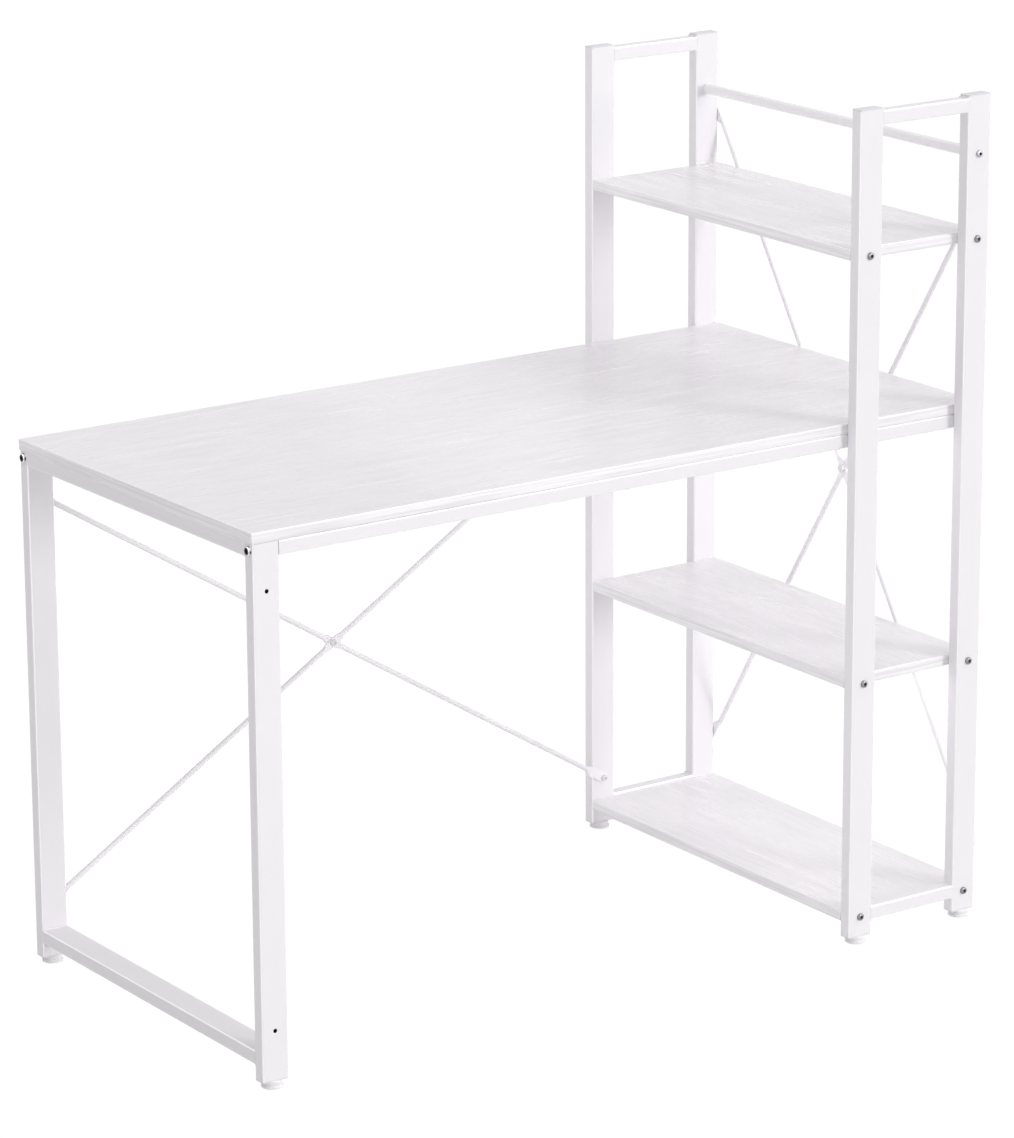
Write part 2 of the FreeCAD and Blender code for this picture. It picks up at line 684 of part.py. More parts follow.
rivet_nut = pattern_piece("rivet_nut")
section = sketch_on(rivet_nut, "XY_Plane")
draw_circle(section, "rivet_nut_diameter")
add_pad(rivet_nut, section, "rivet_nut_length", flipped=True)
section = sketch_on(rivet_nut, "XY_Plane", "-tube_wall")
draw_circle(section, "rivet_bulge_diameter")
add_pad(rivet_nut, section, "rivet_bulge_length", flipped=True)
section = sketch_on(rivet_nut, "XY_Plane")
draw_circle(section, THREAD)
add_pocket(rivet_nut, section, "2 * rivet_nut_length", both=True)
rivets = [(INWARDS[side], post, f"{side} * board_depth / 2", APRON_Z)
          for side in SIDES.values() for post in (LEFT_POST_X, RIGHT_POST_X)]
for side in SIDES.values():
    rivets += [(OUTWARDS[side], LEG_X, f"{side} * board_depth / 2", end) for end in BACK_ENDS]
    rivets += [(INWARDS[side], LEFT_POST_X, f"{side} * board_depth / 2", end)
               for end in BACK_ENDS]
    rivets += [("+X", FRAME_END, f"{side} * {POST_Y}", end) for end in SIDE_ENDS]
make_group("rivet_nuts", rivet_nut, rivets)

# Brace bolts hold the pressed ends to the rivet nuts.

brace_bolt = draw_bolt("brace_end_bolt", "bolt_diameter",
                       "brace_flat_thickness + rivet_nut_length - tip_gap",
                       "head_diameter", "head_height", "socket")
ends = [("+Y", LEG_X, "board_depth / 2 + brace_flat_thickness", end) for end in BACK_ENDS]
ends += [("-Y", LEFT_POST_X, "board_depth / 2 - brace_flat_thickness", end) for end in BACK_ENDS]
ends += [("+X", f"{FRAME_END} + brace_flat_thickness", f"{side} * {POST_Y}", end)
         for side in SIDES.values() for end in SIDE_ENDS]
make_group("brace_end_bolts", brace_bolt, ends)

# A bolt and a hexagon nut join each pair of rods where they cross.

CROSSING_X = f"(({LEG_X} + {LEFT_POST_X}) / 2)"
BACK_CROSSING_Z = f"(({BACK_ENDS[0]} + {BACK_ENDS[1]}) / 2)"
SIDE_CROSSING_Z = f"(({SIDE_ENDS[0]} + {SIDE_ENDS[1]}) / 2)"
INNER_FLAT = ("(board_length / 2 + brace_board_gap + rod_diameter / 2"
              " - brace_flat_thickness / 2)")
crossing_bolt = draw_bolt("crossing_bolt", "bolt_diameter",
                          "2 * brace_flat_thickness + hex_nut_height + tip_gap",
                          "head_diameter", "head_height", "socket")
make_group("brace_crossing_bolts", crossing_bolt, [
    ("-Y", CROSSING_X, "board_depth / 2 - brace_flat_thickness", BACK_CROSSING_Z),
    ("+X", f"{INNER_FLAT} + 2 * brace_flat_thickness", "0", SIDE_CROSSING_Z)])
hex_nut = pattern_piece("hex_nut")
section = sketch_on(hex_nut, "XY_Plane")
draw_hexagon(section, "hex_nut_flats")
draw_circle(section, THREAD)
add_pad(hex_nut, section, "hex_nut_height")
make_group("brace_crossing_nuts", hex_nut, [
    ("+Y", CROSSING_X, "board_depth / 2 + brace_flat_thickness", BACK_CROSSING_Z),
    ("-X", INNER_FLAT, "0", SIDE_CROSSING_Z)])

# Screws go up through the aprons and the left top rail into the desktop.

screw = draw_bolt("desktop_screw", "screw_diameter", "rail_height + screw_bite",
                  "screw_head_diameter", "screw_head_height", "screw_socket")
make_group("desktop_screws", screw,
           [("-Z", x, y, "desk_height - board_thickness - rail_height") for x, y in SCREWS])

# Nothing is written unless every object and every shape is sound.

doc.recompute()
for thing in doc.Objects:
    if {"Invalid", "Error"} & set(thing.State):
        raise SystemExit(f"{thing.Label} failed: {thing.State}")
    if thing.TypeId == "PartDesign::Pocket":
        if thing.Shape.Volume >= thing.BaseFeature.Shape.Volume:
            raise SystemExit(f"{thing.Label} of {thing.getParentGeoFeatureGroup().Label} cuts nothing")
os.makedirs("parts", exist_ok=True)
for node in nodes:
    if node.Shape.isNull() or not node.Shape.isValid() or not node.Shape.Solids:
        raise SystemExit(f"{node.Label} has no sound shape")
for node in nodes:
    node.Shape.exportStep(f"parts/{node.Label}.step")
print(len(nodes), "nodes")
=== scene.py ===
"""White home-office desk with a shelf tower, dressed for a picture.

The pieces follow the order in which the desk is made and put together: the welded tube frames,
the loose rods, the fittings in the tubes, the boards, the bolts and the feet. Lengths are in
metres.
"""
import math

import bpy
from mathutils import Matrix, Vector


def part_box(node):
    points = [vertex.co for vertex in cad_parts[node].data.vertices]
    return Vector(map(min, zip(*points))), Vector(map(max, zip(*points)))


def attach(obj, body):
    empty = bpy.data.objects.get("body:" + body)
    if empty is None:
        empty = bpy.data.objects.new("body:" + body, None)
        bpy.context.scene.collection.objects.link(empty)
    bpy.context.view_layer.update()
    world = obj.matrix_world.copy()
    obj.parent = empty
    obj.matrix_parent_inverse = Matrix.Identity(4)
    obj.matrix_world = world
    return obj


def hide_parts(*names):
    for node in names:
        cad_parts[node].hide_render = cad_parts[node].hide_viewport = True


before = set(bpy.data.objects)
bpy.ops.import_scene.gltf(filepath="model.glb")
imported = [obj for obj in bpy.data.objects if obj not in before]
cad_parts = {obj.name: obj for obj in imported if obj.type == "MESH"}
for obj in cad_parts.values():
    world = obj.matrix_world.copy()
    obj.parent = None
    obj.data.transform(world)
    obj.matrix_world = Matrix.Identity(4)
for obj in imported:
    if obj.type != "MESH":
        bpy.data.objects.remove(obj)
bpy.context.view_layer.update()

# Tube frames
# Legs, posts, rails and aprons are thin-walled steel tube, sawn, welded into frames, dipped and
# sprayed with a white powder. Baking leaves it satin, with a faint orange peel.


class Signal:
    """What leaves a node. Arithmetic with it adds the maths nodes."""

    def __init__(self, finish, socket):
        self.finish, self.socket = finish, socket

    def maths(self, operation, *values):
        return self.finish.add("ShaderNodeMath", {"operation": operation}, dict(enumerate(values)))

    def __add__(self, other):
        return self.maths("ADD", self, other)

    __radd__ = __add__

    def __sub__(self, other):
        return self.maths("SUBTRACT", self, other)

    def __rsub__(self, other):
        return self.maths("SUBTRACT", other, self)

    def __mul__(self, other):
        return self.maths("MULTIPLY", self, other)


class Finish:
    """Surface of one kind of piece: a shader and the nodes that feed it."""

    def __init__(self, name, constants):
        self.material = bpy.data.materials.new(name)
        self.material.use_nodes = True
        self.tree = self.material.node_tree
        self.shader = self.tree.nodes["Principled BSDF"]
        for socket, value in constants.items():
            self.shader.inputs[socket].default_value = value

    def add(self, kind, settings=None, inputs=None, output=0):
        """New node: its settings first, then the value or signal of each socket."""
        node = self.tree.nodes.new(kind)
        for setting, value in (settings or {}).items():
            setattr(node, setting, value)
        for socket, value in (inputs or {}).items():
            if isinstance(value, Signal):
                self.tree.links.new(value.socket, node.inputs[socket])
            else:
                node.inputs[socket].default_value = value
        return Signal(self, node.outputs[output])

    def coordinates(self, kind="Object"):
        return self.add("ShaderNodeTexCoord", output=kind)

    def part(self, vector, axis):
        """X, Y or Z of a vector."""
        return self.add("ShaderNodeSeparateXYZ", None, {0: vector}, axis)

    def noise(self, vector, scale, detail=2.0):
        return self.add("ShaderNodeTexNoise", None,
                        {"Vector": vector, "Scale": scale, "Detail": detail})

    def stretch(self, value, low, high, first=0.0, last=1.0):
        """The range from low to high, made to run from first to last."""
        return self.add("ShaderNodeMapRange", None,
                        {"Value": value, 1: low, 2: high, 3: first, 4: last})

    def bump(self, strength, distance, height):
        return self.add("ShaderNodeBump", None,
                        {"Strength": strength, "Distance": distance, "Height": height})

    def corners(self):
        """1 on the middle of a rounded corner, and 0 on the flats beside it."""
        normal = self.coordinates("Normal")
        x, y, z = (self.part(normal, axis) for axis in "XYZ")
        x, y, z = x.maths("ABSOLUTE", x), y.maths("ABSOLUTE", y), z.maths("ABSOLUTE", z)
        longest = z.maths("MAXIMUM", x.maths("MAXIMUM", x, y), z)
        return self.stretch(longest, 0.99, 0.80)

    def between(self, factor, first, second):
        """Colour between two colours."""
        return self.add("ShaderNodeMix", {"data_type": "RGBA"}, {0: factor, 6: first, 7: second}, 2)

    def feed(self, **signals):
        for socket, signal in signals.items():
            self.tree.links.new(signal.socket, self.shader.inputs[socket.replace("_", " ")])


CLEAR_COAT = {"Coat Roughness": 0.15, "Coat IOR": 2.2}
CORNER_HIGHLIGHT_WHITE = (0.955, 0.93, 0.963, 1)
POWDER = (0.835, 0.812, 0.842, 1), (0.889, 0.864, 0.897, 1)


def powder_coat(name, dark, light, painted_corner_highlight=0.0):
    """Baked white powder on steel, with an optional painted highlight over a tube's rounded
    corners.
    """
    finish = Finish(name, {"Specular IOR Level": 0.45, **CLEAR_COAT})
    place = finish.coordinates()
    cloud = finish.noise(place, 9.0, 3.0)
    peel = finish.noise(place, 520.0)
    grit = finish.noise(place, 2100.0)
    colour = finish.between(cloud * 0.6 + grit * 0.4, dark, light)
    # Painted highlight: rounded corners get a lighter colour, a clear coat and some metal.
    if painted_corner_highlight:
        corner_highlight = finish.corners() * painted_corner_highlight
        colour = finish.between(corner_highlight, colour, CORNER_HIGHLIGHT_WHITE)
        finish.feed(Coat_Weight=corner_highlight, Metallic=corner_highlight * 0.7)
    finish.feed(Base_Color=colour,
                Roughness=0.36 + peel * 0.14,
                Normal=finish.bump(0.22, 0.0002, peel * 0.7 + grit * 0.3))
    return finish


def dress(finish, *names):
    """Give CAD nodes a finish."""
    for name in names:
        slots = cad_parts[name].data.materials
        slots.clear()
        slots.append(finish.material)


# The frames' tubes carry the painted highlight on their rounded corners.
powder = powder_coat("white_powder_coat", *POWDER, painted_corner_highlight=0.9)
POSTS = ("front_left_post", "front_right_post", "back_left_post", "back_right_post")
LEGS = ("left_front_leg", "left_back_leg")
TOWER_RAILS = ("front_top_rail", "front_bottom_rail", "back_top_rail", "back_bottom_rail")
LEFT_RAILS = ("left_top_rail", "left_bottom_rail")
dress(powder, *POSTS, *LEGS, *TOWER_RAILS, *LEFT_RAILS, "front_apron", "back_apron")

# Weld beads
# Each rail is joined to its post or leg by a thin bead laid round its end. It fills the groove
# that the tubes' rounded corners leave, and stands as a small rounded fillet in the corners.


def deselect():
    bpy.ops.object.select_all(action="DESELECT")


def pick(choose, mode="VERT"):
    """In edit mode, select only the vertices, edges or faces that the test picks."""
    piece = bpy.context.object
    bpy.ops.mesh.select_mode(type=mode)
    bpy.ops.mesh.select_all(action="DESELECT")
    bpy.ops.object.mode_set(mode="OBJECT")
    mesh = piece.data
    points = mesh.vertices
    if mode == "VERT":
        for vertex in points:
            vertex.select = choose(vertex.co)
    elif mode == "EDGE":
        for edge in mesh.edges:
            edge.select = choose(*(points[index].co for index in edge.vertices))
    else:
        for face in mesh.polygons:
            face.select = choose(face.center, face.normal)
    bpy.ops.object.mode_set(mode="EDIT")


def smooth(piece, angle=35):
    """Smooth shading on every edge flatter than the angle."""
    deselect()
    piece.select_set(True)
    bpy.context.view_layer.objects.active = piece
    bpy.ops.object.shade_smooth_by_angle(angle=math.radians(angle))


def lay_bead(name, length, radius, ripple=0.0011):
    """Round bead along Z about the origin, with the ripples that the torch leaves."""
    waist, taper, slack = 0.91, 0.6, ripple / 8
    deselect()
    bpy.ops.mesh.primitive_cylinder_add(vertices=16, radius=radius, depth=length)
    bead = bpy.context.object
    bead.name = name
    steps = 2 * round(length / ripple)
    bpy.ops.object.mode_set(mode="EDIT")
    pick(lambda a, b: abs(a.z - b.z) > length / 2, "EDGE")
    bpy.ops.mesh.subdivide(number_cuts=steps - 1)
    for step in range(1, steps, 2):
        height = (step / steps - 0.5) * length
        pick(lambda co: abs(co.z - height) < slack)
        bpy.ops.transform.resize(value=(waist, waist, 1))
    pick(lambda co: abs(co.z) > length / 2 - slack)
    bpy.ops.transform.resize(value=(taper, taper, 1))
    bpy.ops.object.mode_set(mode="OBJECT")
    bead.data.materials.append(round_powder.material)
    smooth(bead, 60)
    return bead


def copy_to(pattern, name, at, facing, body="frame"):
    """Copy with its own mesh, whose +Z is turned to face a direction."""
    piece = bpy.data.objects.new(name, pattern.data.copy())
    bpy.context.scene.collection.objects.link(piece)
    turn = Vector((0, 0, 1)).rotation_difference(Vector(facing)).to_matrix().to_4x4()
    piece.data.transform(Matrix.Translation(Vector(at)) @ turn)
    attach(piece, body)
    return piece


def join(name, pieces):
    """One piece out of several."""
    deselect()
    for piece in pieces:
        piece.select_set(True)
    bpy.context.view_layer.objects.active = pieces[0]
    bpy.ops.object.join()
    pieces[0].name = name
    return pieces[0]


round_powder = powder_coat("white_powder_on_rounds", *POWDER)
corner_radius, groove_radius = 0.0021, 0.0017
across_tube, along_tube, in_groove = 0.0192, 0.0378, 0.0186
short_bead = lay_bead("short_bead", across_tube, corner_radius)
long_bead = lay_bead("long_bead", along_tube, corner_radius)
groove_bead = lay_bead("groove_bead", in_groove, groove_radius)
sunk, set_back = 0.0019, 0.0009
for rail in TOWER_RAILS:
    low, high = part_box(rail)
    middle = (low + high) / 2
    outer = 1 if middle.y > 0 else -1
    beads = []
    for x, inwards in ((low.x, 1), (high.x, -1)):
        for z in (low.z, high.z):
            beads.append(copy_to(short_bead, "bead", (x, middle.y, z), (0, 1, 0)))
        for y in (low.y, high.y):
            across = 1 if y > middle.y else -1
            at = (x - inwards * set_back, y - across * sunk, middle.z)
            beads.append(copy_to(groove_bead, "bead", at, (0, 0, 1)))
    join(f"{rail}_welds", beads)
for rail in LEFT_RAILS:
    low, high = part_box(rail)
    middle = (low + high) / 2
    beads = []
    for y, inwards in ((low.y, 1), (high.y, -1)):
        corners = (low.z,) if rail == "left_top_rail" else (low.z, high.z)
        for z in corners:
            beads.append(copy_to(long_bead, "bead", (middle.x, y, z), (1, 0, 0)))
        for x in (low.x, high.x):
            across = 1 if x > middle.x else -1
            at = (x - across * sunk, y - inwards * set_back, middle.z)
            beads.append(copy_to(groove_bead, "bead", at, (0, 0, 1)))
    join(f"{rail}_welds", beads)
for pattern in (short_bead, long_bead, groove_bead):
    bpy.data.objects.remove(pattern)

# Guard rail and brace rods
# The guard rail is a 15 mm bar tapped at its ends. The braces are 7.5 mm wire, pressed flat at
# the ends and where two of them cross. The powder lies thicker on them and hides the steel's grain.
# Their white is painted lighter than the tubes', as painted light.

BRACES = ("back_brace_rising", "back_brace_falling", "side_brace_rising", "side_brace_falling")


def thick_coat(name, dark, light, gloss):
    """Powder on a round bar. The gloss runs from 0, satin, to 1."""
    finish = Finish(name, {"Specular IOR Level": 0.35 + gloss * 0.15, "Coat Weight": gloss,
                           "Coat Roughness": 0.12})
    cloud = finish.noise(finish.coordinates(), 10.0, 1.0)
    finish.feed(Base_Color=finish.between(cloud, dark, light),
                Roughness=0.52 - gloss * 0.20 + cloud * 0.04)
    return finish


# Painted light: these whites are lighter than the tubes' powder.
RAIL_WHITES_PAINTED_LIGHTER = (0.905, 0.882, 0.912, 1), (0.945, 0.921, 0.952, 1)
BRACE_WHITES_PAINTED_LIGHTER = (0.90, 0.878, 0.907, 1), (0.925, 0.902, 0.932, 1)
dress(thick_coat("white_enamel_on_rail", *RAIL_WHITES_PAINTED_LIGHTER, gloss=1.0), "guard_rail")
dress(thick_coat("white_enamel_on_braces", *BRACE_WHITES_PAINTED_LIGHTER, gloss=0.0), *BRACES)

# Caps in the tube ends
# Moulded plugs of white plastic are knocked into the open ends of the posts and the aprons. The
# lip covers the tube's wall and is slightly crowned, and a plain plug goes down into the tube.

plastic = Finish("white_moulded_plastic", {"Specular IOR Level": 0.4})
place = plastic.coordinates()
texture = plastic.noise(place, 1400.0)
flow = plastic.noise(place, 60.0, 3.0)
flow_line, clean = (0.74, 0.725, 0.75, 1), (0.80, 0.785, 0.81, 1)
plastic.feed(Base_Color=plastic.between(flow, flow_line, clean),
             Roughness=0.46 + texture * 0.12,
             Normal=plastic.bump(0.18, 0.00015, texture))


def mould_cap(name, width, depth):
    """Cap about the origin: its lip stands on Z 0, and its plug goes down."""
    lip, plug, wall, corner, bevel, crown = 0.0020, 0.0115, 0.0013, 0.0025, 0.0007, 0.0005
    slack = bevel / 2

    def on_rim(co):
        """On the outline of the upper face, its rounded corners included."""
        x, y = abs(co.x) - width / 2, abs(co.y) - depth / 2
        in_corner = (x > -corner and y > -corner
                     and math.hypot(x + corner, y + corner) > corner - slack)
        return co.z > lip * 0.9 and (x > -slack or y > -slack or in_corner)

    deselect()
    bpy.ops.mesh.primitive_cube_add(size=1, location=(0, 0, lip / 2), scale=(width, depth, lip))
    cap = bpy.context.object
    cap.name = name
    bpy.ops.object.transform_apply(location=True, rotation=True, scale=True)
    bpy.ops.object.mode_set(mode="EDIT")
    pick(lambda a, b: abs(a.z - b.z) > lip / 2, "EDGE")
    bpy.ops.mesh.bevel(offset=corner, segments=5, affect="EDGES")
    pick(lambda centre, normal: normal.z < -0.9, "FACE")
    bpy.ops.mesh.inset(thickness=wall)
    bpy.ops.mesh.extrude_region_move(TRANSFORM_OT_translate={"value": (0, 0, -plug)})
    bpy.ops.transform.resize(value=(0.97, 0.95, 1))
    pick(lambda centre, normal: normal.z > 0.9 and centre.z > lip * 0.9, "FACE")
    bpy.ops.mesh.inset(thickness=bevel)
    pick(on_rim)
    bpy.ops.transform.translate(value=(0, 0, -crown))
    bpy.ops.object.mode_set(mode="OBJECT")
    cap.data.materials.append(plastic.material)
    smooth(cap)
    return cap


low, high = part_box(POSTS[0])
post_cap = mould_cap("post_cap", high.x - low.x, high.y - low.y)
for post in POSTS:
    low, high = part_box(post)
    at = ((low.x + high.x) / 2, (low.y + high.y) / 2, high.z)
    cap = copy_to(post_cap, f"{post}_cap", at, (0, 0, 1))
    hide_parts("post_caps")
low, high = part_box("front_apron")
apron_cap = mould_cap("apron_cap", high.z - low.z, high.y - low.y)
for apron in ("front_apron", "back_apron"):
    low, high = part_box(apron)
    at = (high.x, (low.y + high.y) / 2, (low.z + high.z) / 2)
    cap = copy_to(apron_cap, f"{apron}_cap", at, (1, 0, 0))
    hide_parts("apron_caps")
for pattern in (post_cap, apron_cap):
    bpy.data.objects.remove(pattern)
dress(plastic, "leg_caps", "foot_inserts")

# Nuts in the tubes and inserts in the boards
# Rivet nuts are set into one wall of a tube before it is sprayed, so the powder covers their rim
# and leaves the thread bare; the bare thread is painted near-black as shade in the bore. The nut
# blocks and board inserts are plain zinc.


def zinc_plate(name, dark, light, roughness, painted_edge_highlight=None):
    """Plated steel, with a painted highlight in another colour on its rounded edges if one is
    given.
    """
    finish = Finish(name, {"Metallic": 1.0})
    place = finish.coordinates()
    grain = finish.noise(place, 2600.0, 3.0)
    stain = finish.noise(place, 240.0)
    colour = finish.between(stain * 0.6 + grain * 0.4, dark, light)
    if painted_edge_highlight:
        colour = finish.between(finish.corners(), colour, painted_edge_highlight)
    finish.feed(Base_Color=colour, Roughness=roughness + grain * 0.16)
    return finish


zinc = zinc_plate("zinc_plate", (0.36, 0.36, 0.375, 1), (0.56, 0.56, 0.58, 1), 0.24)
dress(zinc, "frame_nuts", "shelf_inserts", "apron_bolts")

nut_finish = Finish("painted_rivet_nut", {"Specular IOR Level": 0.45})
place = nut_finish.coordinates()
x, y = (nut_finish.part(place, axis) for axis in "XY")
back_wall, side_wall, rim, half_pitch = 0.300, 0.5985, 0.0004, 0.0005
back_face = y.maths("COMPARE", y.maths("ABSOLUTE", y), back_wall, rim)
side_face = x.maths("COMPARE", x, side_wall, rim)
painted = back_face.maths("MAXIMUM", back_face, side_face)
turns = y.maths("PINGPONG", y, half_pitch) * (1 / half_pitch)
# The bare thread is painted near-black: painted shade in the bore.
bare_thread_with_painted_shade, coat = (0.06, 0.06, 0.065, 1), (0.86, 0.838, 0.87, 1)
nut_finish.feed(Base_Color=nut_finish.between(painted, bare_thread_with_painted_shade, coat),
                Metallic=(1 - painted) * 0.6,
                Roughness=0.42 - turns * 0.08,
                Normal=nut_finish.bump(0.6, 0.0004, turns * (1 - painted)))
dress(nut_finish, "rivet_nuts")

# Boards
# The desktop and three shelves are 15 mm particle board between two sheets of white laminate,
# printed with a pale wood grain and pressed with its pores. The grain follows a board's length.


def laminate(name, scale):
    """Printed and embossed white wood, with its grain stretched by the mapping's scale."""
    finish = Finish(name, {"Specular IOR Level": 0.5})
    place = finish.coordinates()
    shift = finish.add("ShaderNodeTexNoise", None,
                       {"Vector": place, "Scale": 5.0, "Detail": 2.0}, 1)
    wander = finish.add("ShaderNodeVectorMath", {"operation": "MULTIPLY_ADD"},
                        {0: shift, 1: (0.012, 0.012, 0.0), 2: place})
    stretched = finish.add("ShaderNodeMapping", None, {"Vector": wander, "Scale": scale})
    cloud = finish.noise(place, 14.0, 3.0)
    streaks = finish.noise(stretched, 1.0, 2.5)
    fibres = finish.noise(stretched, 3.6, 3.0)
    figured = finish.stretch(finish.noise(place, 7.5), 0.40, 0.62, 0.4)
    tone = (streaks - 0.5) * figured * 1.5 + (fibres - 0.5) * 0.8 + (cloud - 0.5) * 0.3
    contrast = finish.stretch(tone, -0.24, 0.24)
    pore, print_white = (0.812, 0.788, 0.818, 1), (0.912, 0.887, 0.918, 1)
    finish.feed(Base_Color=finish.between(contrast, pore, print_white),
                Roughness=0.33 - contrast * 0.07,
                Normal=finish.bump(0.25, 0.0002, contrast))
    return finish


SHELVES = ("top_shelf", "middle_shelf", "bottom_shelf")
dress(laminate("laminate_along_desktop", (5.5, 100.0, 100.0)), "desktop")
dress(laminate("laminate_along_shelf", (120.0, 6.0, 120.0)), *SHELVES)

# Edge bands
# A white plastic band, 0.8 mm thick, is glued round each board and trimmed flush. Its arrises are
# rounded by a scraper: a painted highlight lightens the upper one, and painted shade greys the
# lower one.

dark_fibre, light_fibre = (0.81, 0.787, 0.817, 1), (0.975, 0.95, 0.982, 1)
painted_arris_shade, painted_arris_white = (0.60, 0.583, 0.606, 1), (0.975, 0.95, 0.982, 1)
band_finish = Finish("white_edge_band", {"Specular IOR Level": 0.45, **CLEAR_COAT})
place = band_finish.coordinates()
drawn_out = band_finish.add("ShaderNodeMapping", None,
                            {"Vector": place, "Scale": (5.0, 5.0, 300.0)})
fibres = band_finish.noise(drawn_out, 1.1, 3.0)
upwards = band_finish.part(band_finish.coordinates("Normal"), "Z")
arris = band_finish.corners()
# Painted highlight on the upper arris, and painted shade on the lower one.
upper_arris_highlight = arris * upwards.maths("GREATER_THAN", upwards, 0.05)
lower_arris_shade = arris * upwards.maths("LESS_THAN", upwards, -0.05)
plain = band_finish.between(band_finish.stretch(fibres, 0.36, 0.64), dark_fibre, light_fibre)
# The lower arris is greyed with painted shade.
plain = band_finish.between(lower_arris_shade, plain, painted_arris_shade)
band_finish.feed(Base_Color=band_finish.between(upper_arris_highlight, plain, painted_arris_white),
                 Coat_Weight=upper_arris_highlight,
                 Metallic=upper_arris_highlight * 0.4,
                 Roughness=0.34 + fibres * 0.1,
                 Normal=band_finish.bump(0.2, 0.0002, fibres))


def cut_away(piece, tool):
    """Cut a tool's shape out of a piece, and put the tool away."""
    cut = piece.modifiers.new("cut", "BOOLEAN")
    cut.object, cut.operation, cut.solver = tool, "DIFFERENCE", "EXACT"
    deselect()
    piece.select_set(True)
    bpy.context.view_layer.objects.active = piece
    bpy.ops.object.modifier_apply(modifier=cut.name)
    bpy.data.objects.remove(tool)


def glue_band(board, with_inserts):
    """Band round a board, cut where the threaded inserts stand in the board's ends."""
    low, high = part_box(f"{board}_edge_band")
    core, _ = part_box(board)
    arris_width, insert_radius, deep_enough = 0.00078, 0.0051, 0.006

    def on_outer_face(*ends):
        """An edge of the band's four outer faces."""
        return all(min(p.x - low.x, high.x - p.x, p.y - low.y, high.y - p.y) < 1e-5 for p in ends)

    deselect()
    bpy.ops.mesh.primitive_cube_add(size=1, location=(low + high) / 2, scale=high - low)
    band = bpy.context.object
    band.name = f"{board}_band"
    bpy.ops.object.transform_apply(location=True, rotation=True, scale=True)
    bpy.ops.object.mode_set(mode="EDIT")
    pick(lambda centre, normal: abs(normal.z) > 0.9, "FACE")
    bpy.ops.mesh.inset(thickness=core.x - low.x)
    bpy.ops.mesh.delete(type="FACE")
    bpy.ops.mesh.select_mode(type="EDGE")
    bpy.ops.mesh.select_all(action="DESELECT")
    bpy.ops.mesh.select_non_manifold()
    bpy.ops.mesh.bridge_edge_loops()
    bpy.ops.mesh.select_all(action="SELECT")
    bpy.ops.mesh.normals_make_consistent(inside=False)
    pick(on_outer_face, "EDGE")
    bpy.ops.mesh.bevel(offset=arris_width, segments=4, affect="EDGES")
    bpy.ops.object.mode_set(mode="OBJECT")
    if with_inserts:
        for post in POSTS:
            low_post, high_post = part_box(post)
            end_face = low.y if low_post.y < 0 else high.y
            at = ((low_post.x + high_post.x) / 2, end_face, (low.z + high.z) / 2)
            deselect()
            bpy.ops.mesh.primitive_cylinder_add(
                vertices=32, radius=insert_radius, depth=deep_enough,
                rotation=(math.pi / 2, 0, 0), location=at)
            cut_away(band, bpy.context.object)
    band.data.materials.clear()
    band.data.materials.append(band_finish.material)
    smooth(band)
    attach(band, "frame")
    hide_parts(f"{board}_edge_band")


glue_band("desktop", False)
for shelf in SHELVES:
    glue_band(shelf, True)

# Button-head bolts
# Cold-headed steel bolts with a low domed head and a hexagon socket hold the frames, shelves and
# guard rail. They are zinc plated, and painted shade darkens the inside of the socket.

TIP_CHAMFER = 0.0006
LARGE_HEAD = {"head": 0.013, "head_height": 0.0036, "shank": 0.0079}
SMALL_HEAD = {"head": 0.0105, "head_height": 0.0033, "shank": 0.0059}
# Socket insides, darker than the heads: painted shade in the recess.
socket_shade_dark = zinc_plate("painted_socket_shade", (0.045, 0.045, 0.048, 1), (0.085, 0.085, 0.09, 1), 0.42)
socket_shade_grey = zinc_plate("painted_grey_socket_shade", (0.09, 0.09, 0.095, 1), (0.17, 0.17, 0.18, 1), 0.45)


def head_bolt(name, finish, head, head_height, shank, length, socket, inside, depth=0.72, sides=6):
    """Bolt about the origin: its head stands on Z 0, and its shank goes down.

    The socket's depth is a share of the head's height. With 4 sides it is a cross.
    """
    dome, arm = 0.62, 0.24
    deselect()
    bpy.ops.mesh.primitive_cylinder_add(vertices=48, radius=head / 2, depth=head_height,
                                        location=(0, 0, head_height / 2))
    bolt = bpy.context.object
    bolt.name = name
    bpy.ops.object.transform_apply(location=True, rotation=True, scale=True)
    bpy.ops.object.mode_set(mode="EDIT")
    pick(lambda centre, normal: normal.z > 0.9, "FACE")
    bpy.ops.mesh.bevel(offset=head_height * dome, segments=6, affect="EDGES")
    pick(lambda centre, normal: normal.z < -0.9, "FACE")
    bpy.ops.mesh.inset(thickness=(head - shank) / 2)
    bpy.ops.mesh.extrude_region_move(TRANSFORM_OT_translate={"value": (0, 0, -length)})
    bpy.ops.mesh.bevel(offset=TIP_CHAMFER, segments=1, affect="EDGES")
    bpy.ops.object.mode_set(mode="OBJECT")
    depth *= head_height
    if sides == 6:
        deselect()
        bpy.ops.mesh.primitive_cylinder_add(
            vertices=6, radius=socket / 2 / math.cos(math.pi / 6), depth=2 * depth,
            location=(0, 0, head_height))
        cut_away(bolt, bpy.context.object)
    else:
        for turn in (0, math.pi / 2):
            deselect()
            bpy.ops.mesh.primitive_cube_add(
                size=1, location=(0, 0, head_height), rotation=(0, 0, turn),
                scale=(socket, socket * arm, 2 * depth))
            cut_away(bolt, bpy.context.object)
    bolt.data.materials.clear()
    bolt.data.materials.append(finish.material)
    bolt.data.materials.append(inside.material)
    # Faces inside the socket take the inside finish, which carries painted shade.
    for face in bolt.data.polygons:
        near = math.hypot(face.center.x, face.center.y) < socket * 0.55
        face.material_index = int(near and face.center.z < head_height * 0.98 and face.center.z > 0)
    smooth(bolt)
    return bolt


